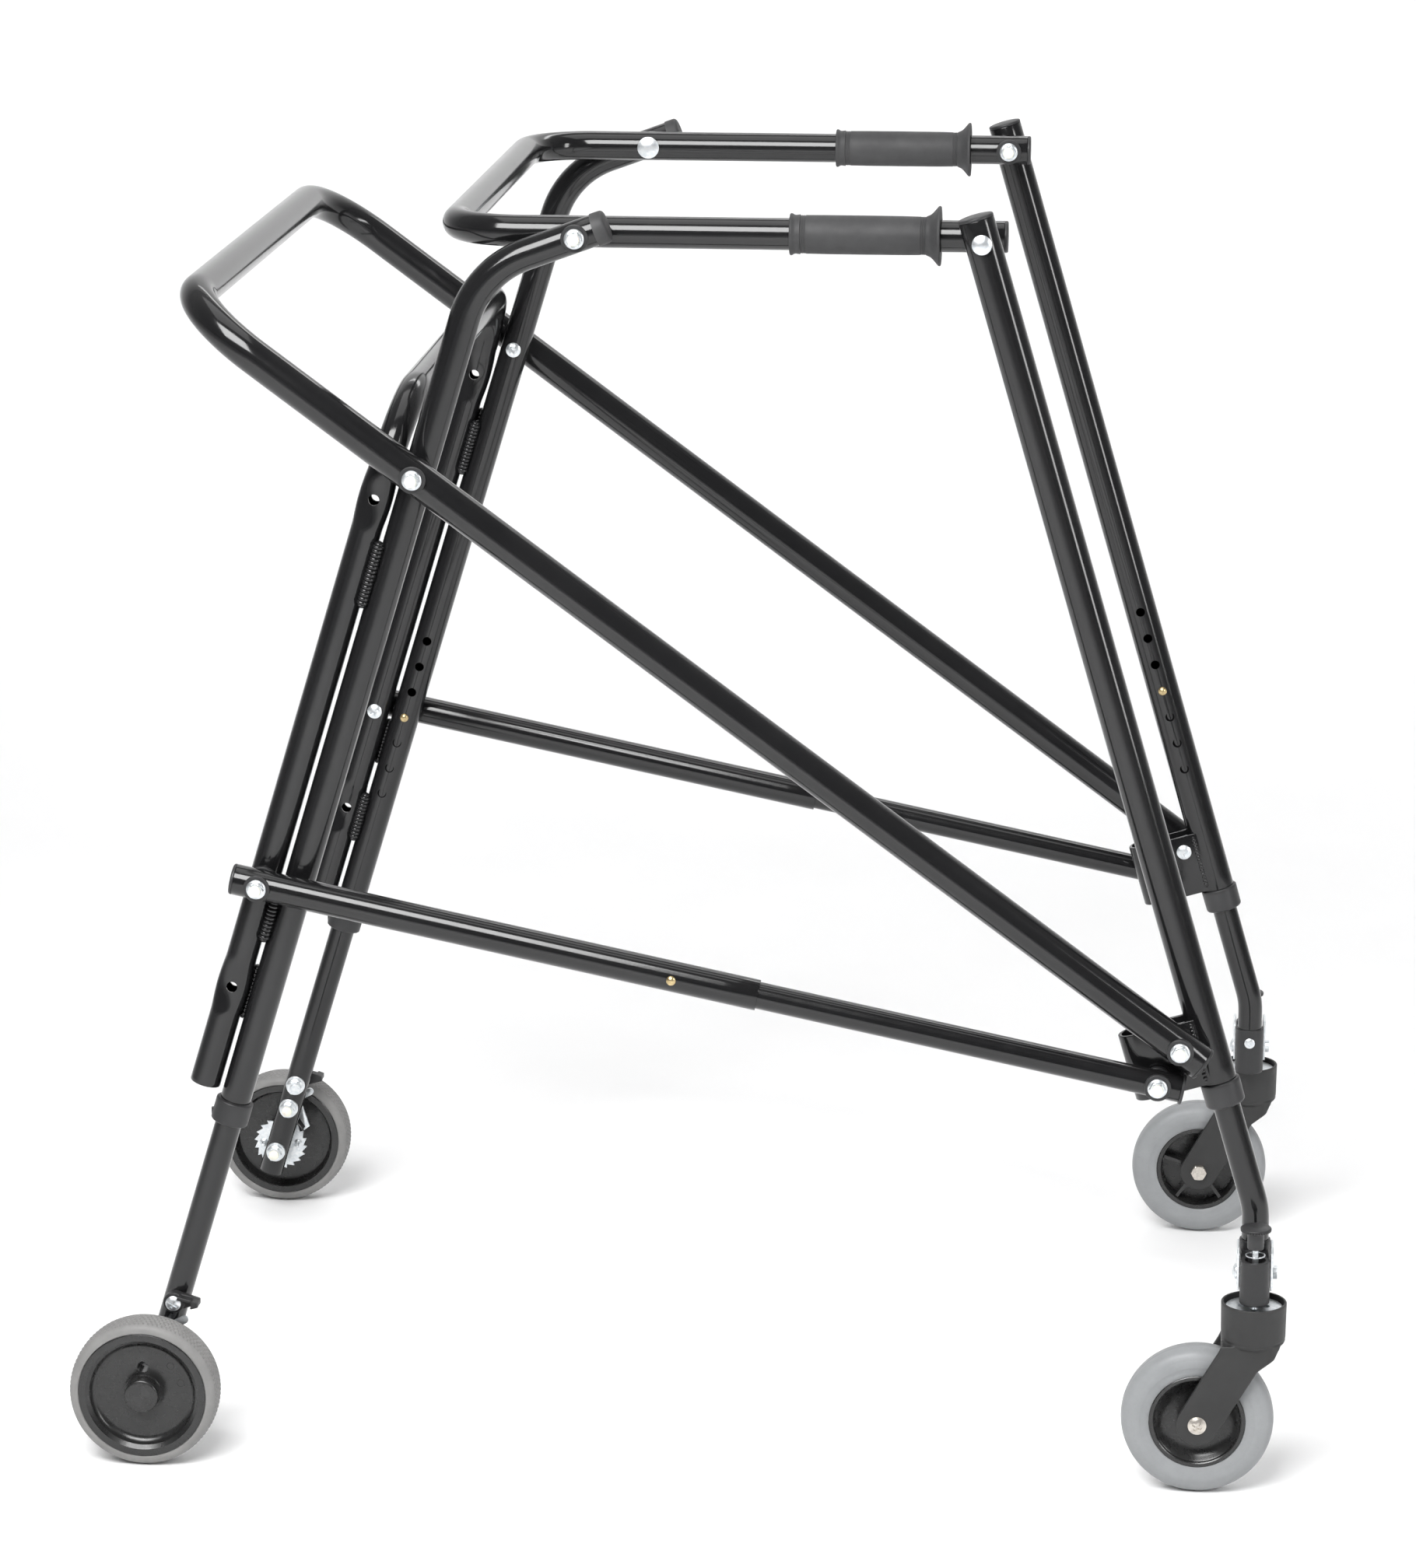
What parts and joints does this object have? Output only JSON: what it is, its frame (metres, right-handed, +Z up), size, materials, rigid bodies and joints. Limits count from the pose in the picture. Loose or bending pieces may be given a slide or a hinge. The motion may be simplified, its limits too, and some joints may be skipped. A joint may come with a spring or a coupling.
{
  "type": "folding posterior walking frame",
  "caption": "Folding posterior walking frame with height-adjustable legs, swivel casters in front, and reverse-locking wheels behind.",
  "frame": {"origin": "on the floor under the middle of the frame's bounding box", "axes": "+X is the walking direction, from the rear wheels to the casters; +Y is the user's left; +Z is up"},
  "size_m": [1.0056, 0.7282, 1.0486],
  "materials": {
    "black_plastic": "fine-textured black",
    "black_tube": "gloss black powder coat",
    "brass": "satin",
    "grey_tyre": "smooth cool grey",
    "grip_rubber": "matt dark grey",
    "treaded_tyre": "fine-grained warm grey",
    "zinc": "bright zinc plate"
  },
  "bodies": {
    "rear_frame": {"rear_frame": "black_tube", "rear_leg_collars": "black_plastic", "rear_leg_caps": "black_plastic", "rear_pivot_bolts": "zinc", "rear_pivot_washers": "black_plastic"},
    "handlebar": {"handlebar": "black_tube", "hand_grips": "grip_rubber", "handlebar_caps": "black_plastic"},
    "front_frame": {"front_leg_right": "black_tube", "front_leg_left": "black_tube", "front_leg_caps": "black_plastic", "front_leg_collars": "black_plastic", "front_pivot_bolts": "zinc", "front_pivot_washers": "black_plastic"},
    "brace": {"brace_frame": "black_tube", "brace_end_fittings": "black_plastic", "brace_nuts": "zinc"},
    "lower_bars_rear": {"lower_bars_outer": "black_tube", "lower_bar_rear_caps": "black_plastic"},
    "lower_bars_front": {"lower_bars_inner": "black_tube", "lower_bar_end_fittings": "black_plastic", "lower_bar_nuts": "zinc"},
    "bar_button_right": {"bar_button_right": "brass"},
    "rear_foot_right": {"rear_lower_leg_right": "black_tube", "rear_axle_bolts_right": "zinc"},
    "rear_button_right": {"rear_button_right": "brass"},
    "reverse_lever_right": {"reverse_lever_right": "black_plastic"},
    "reverse_pawl_right": {"reverse_pawl_right": "zinc"},
    "rear_wheel_right": {"rear_tyre_right": "treaded_tyre", "rear_hub_right": "black_plastic", "ratchet_right": "zinc"},
    "front_foot_right": {"front_lower_leg_right": "black_tube", "caster_head_right": "black_plastic", "head_clamp_right": "zinc"},
    "front_button_right": {"front_button_right": "brass"},
    "swivel_lock_right": {"swivel_lock_right": "black_plastic"},
    "caster_right": {"caster_fork_right": "black_plastic", "swivel_plate_right": "zinc", "caster_axle_right": "zinc"},
    "front_wheel_right": {"front_tyre_right": "grey_tyre", "front_hub_right": "black_plastic"},
    "bar_button_left": {"bar_button_left": "brass"},
    "rear_foot_left": {"rear_lower_leg_left": "black_tube", "rear_axle_bolts_left": "zinc"},
    "rear_button_left": {"rear_button_left": "brass"},
    "reverse_lever_left": {"reverse_lever_left": "black_plastic"},
    "reverse_pawl_left": {"reverse_pawl_left": "zinc"},
    "rear_wheel_left": {"rear_tyre_left": "treaded_tyre", "rear_hub_left": "black_plastic", "ratchet_left": "zinc"},
    "front_foot_left": {"front_lower_leg_left": "black_tube", "caster_head_left": "black_plastic", "head_clamp_left": "zinc"},
    "front_button_left": {"front_button_left": "brass"},
    "swivel_lock_left": {"swivel_lock_left": "black_plastic"},
    "caster_left": {"caster_fork_left": "black_plastic", "swivel_plate_left": "zinc", "caster_axle_left": "zinc"},
    "front_wheel_left": {"front_tyre_left": "grey_tyre", "front_hub_left": "black_plastic"}
  },
  "joints": [
    {"name": "fold", "type": "hinge", "parent": "rear_frame", "child": "handlebar", "pos_m": [-0.07855, 0, 1.025], "axis": [0, 1, 0], "range_deg": [0, 90]},
    {"name": "front_legs_fold", "type": "hinge", "parent": "handlebar", "child": "front_frame", "pos_m": [0.24285, 0, 1.025], "axis": [0, 1, 0], "range_deg": [-55.85, 0]},
    {"name": "brace_fold", "type": "hinge", "parent": "rear_frame", "child": "brace", "pos_m": [-0.20538, 0, 0.83589], "axis": [0, 1, 0], "range_deg": [0, 60.75]},
    {"name": "lower_bars_fold", "type": "hinge", "parent": "rear_frame", "child": "lower_bars_rear", "pos_m": [-0.33814, 0, 0.49559], "axis": [0, 1, 0], "range_deg": [0, 78.11]},
    {"name": "lower_bars_slide", "type": "slide", "parent": "lower_bars_rear", "child": "lower_bars_front", "axis": [-0.9799, 0, 0.1993], "range_m": [0, 0.3093], "deforming": ["bar_button_right", "bar_button_left"]},
    {"name": "bar_button_right_press", "type": "slide", "parent": "lower_bars_front", "child": "bar_button_right", "axis": [0, 1, 0], "range_m": [0, 0.0045], "stiffness_N_per_m": 1500},
    {"name": "rear_height_right", "type": "slide", "parent": "rear_frame", "child": "rear_foot_right", "axis": [-0.2907, 0, -0.9568], "range_m": [-0.0762, 0.0762]},
    {"name": "rear_button_right_press", "type": "slide", "parent": "rear_foot_right", "child": "rear_button_right", "axis": [0, -1, 0], "range_m": [0, 0.0045], "stiffness_N_per_m": 1500},
    {"name": "reverse_lever_right_turn", "type": "hinge", "parent": "rear_foot_right", "child": "reverse_lever_right", "pos_m": [-0.42015, -0.2972, 0.129], "axis": [0, 1, 0], "range_deg": [0, 14]},
    {"name": "reverse_pawl_right_turn", "type": "hinge", "parent": "rear_foot_right", "child": "reverse_pawl_right", "pos_m": [-0.42709, -0.2972, 0.10613], "axis": [0, 1, 0], "range_deg": [0, 7]},
    {"name": "rear_wheel_right_roll", "type": "hinge", "parent": "rear_foot_right", "child": "rear_wheel_right", "pos_m": [-0.44035, -0.344, 0.0625], "axis": [0, 1, 0], "continuous": true},
    {"name": "front_height_right", "type": "slide", "parent": "front_frame", "child": "front_foot_right", "axis": [0.2828, 0, -0.9592], "range_m": [-0.0762, 0.0762]},
    {"name": "front_button_right_press", "type": "slide", "parent": "front_foot_right", "child": "front_button_right", "axis": [0, -1, 0], "range_m": [0, 0.0045], "stiffness_N_per_m": 1500},
    {"name": "swivel_lock_right_press", "type": "slide", "parent": "front_foot_right", "child": "swivel_lock_right", "axis": [0, 0, -1], "range_m": [0, 0.005]},
    {"name": "caster_right_swivel", "type": "hinge", "parent": "front_foot_right", "child": "caster_right", "pos_m": [0.47615, -0.3288, 0.0625], "axis": [0, 0, 1], "continuous": true},
    {"name": "front_wheel_right_roll", "type": "hinge", "parent": "caster_right", "child": "front_wheel_right", "pos_m": [0.43215, -0.3288, 0.0625], "axis": [0, 1, 0], "continuous": true},
    {"name": "bar_button_left_press", "type": "slide", "parent": "lower_bars_front", "child": "bar_button_left", "axis": [0, -1, 0], "range_m": [0, 0.0045], "stiffness_N_per_m": 1500},
    {"name": "rear_height_left", "type": "slide", "parent": "rear_frame", "child": "rear_foot_left", "axis": [-0.2907, 0, -0.9568], "range_m": [-0.0762, 0.0762]},
    {"name": "rear_button_left_press", "type": "slide", "parent": "rear_foot_left", "child": "rear_button_left", "axis": [0, 1, 0], "range_m": [0, 0.0045], "stiffness_N_per_m": 1500},
    {"name": "reverse_lever_left_turn", "type": "hinge", "parent": "rear_foot_left", "child": "reverse_lever_left", "pos_m": [-0.42015, 0.2972, 0.129], "axis": [0, 1, 0], "range_deg": [0, 14]},
    {"name": "reverse_pawl_left_turn", "type": "hinge", "parent": "rear_foot_left", "child": "reverse_pawl_left", "pos_m": [-0.42709, 0.2972, 0.10613], "axis": [0, 1, 0], "range_deg": [0, 7]},
    {"name": "rear_wheel_left_roll", "type": "hinge", "parent": "rear_foot_left", "child": "rear_wheel_left", "pos_m": [-0.44035, 0.344, 0.0625], "axis": [0, 1, 0], "continuous": true},
    {"name": "front_height_left", "type": "slide", "parent": "front_frame", "child": "front_foot_left", "axis": [0.2828, 0, -0.9592], "range_m": [-0.0762, 0.0762]},
    {"name": "front_button_left_press", "type": "slide", "parent": "front_foot_left", "child": "front_button_left", "axis": [0, 1, 0], "range_m": [0, 0.0045], "stiffness_N_per_m": 1500},
    {"name": "swivel_lock_left_press", "type": "slide", "parent": "front_foot_left", "child": "swivel_lock_left", "axis": [0, 0, -1], "range_m": [0, 0.005]},
    {"name": "caster_left_swivel", "type": "hinge", "parent": "front_foot_left", "child": "caster_left", "pos_m": [0.47615, 0.3288, 0.0625], "axis": [0, 0, 1], "continuous": true},
    {"name": "front_wheel_left_roll", "type": "hinge", "parent": "caster_left", "child": "front_wheel_left", "pos_m": [0.43215, 0.3288, 0.0625], "axis": [0, 1, 0], "continuous": true}
  ],
  "couplings": [
    {"joint": "front_legs_fold", "follows": "fold", "ratio": -0.61998},
    {"joint": "brace_fold", "follows": "fold", "ratio": 0.67445},
    {"joint": "lower_bars_fold", "follows": "fold", "ratio": 0.86737},
    {"joint": "lower_bars_slide", "follows": "fold", "m_per_rad": 0.19683},
    {"joint": "bar_button_right_press", "follows": "fold", "m_per_rad": 0.0028648},
    {"joint": "reverse_pawl_right_turn", "follows": "reverse_lever_right_turn", "ratio": 0.5},
    {"joint": "bar_button_left_press", "follows": "fold", "m_per_rad": 0.0028648},
    {"joint": "reverse_pawl_left_turn", "follows": "reverse_lever_left_turn", "ratio": 0.5}
  ]
}
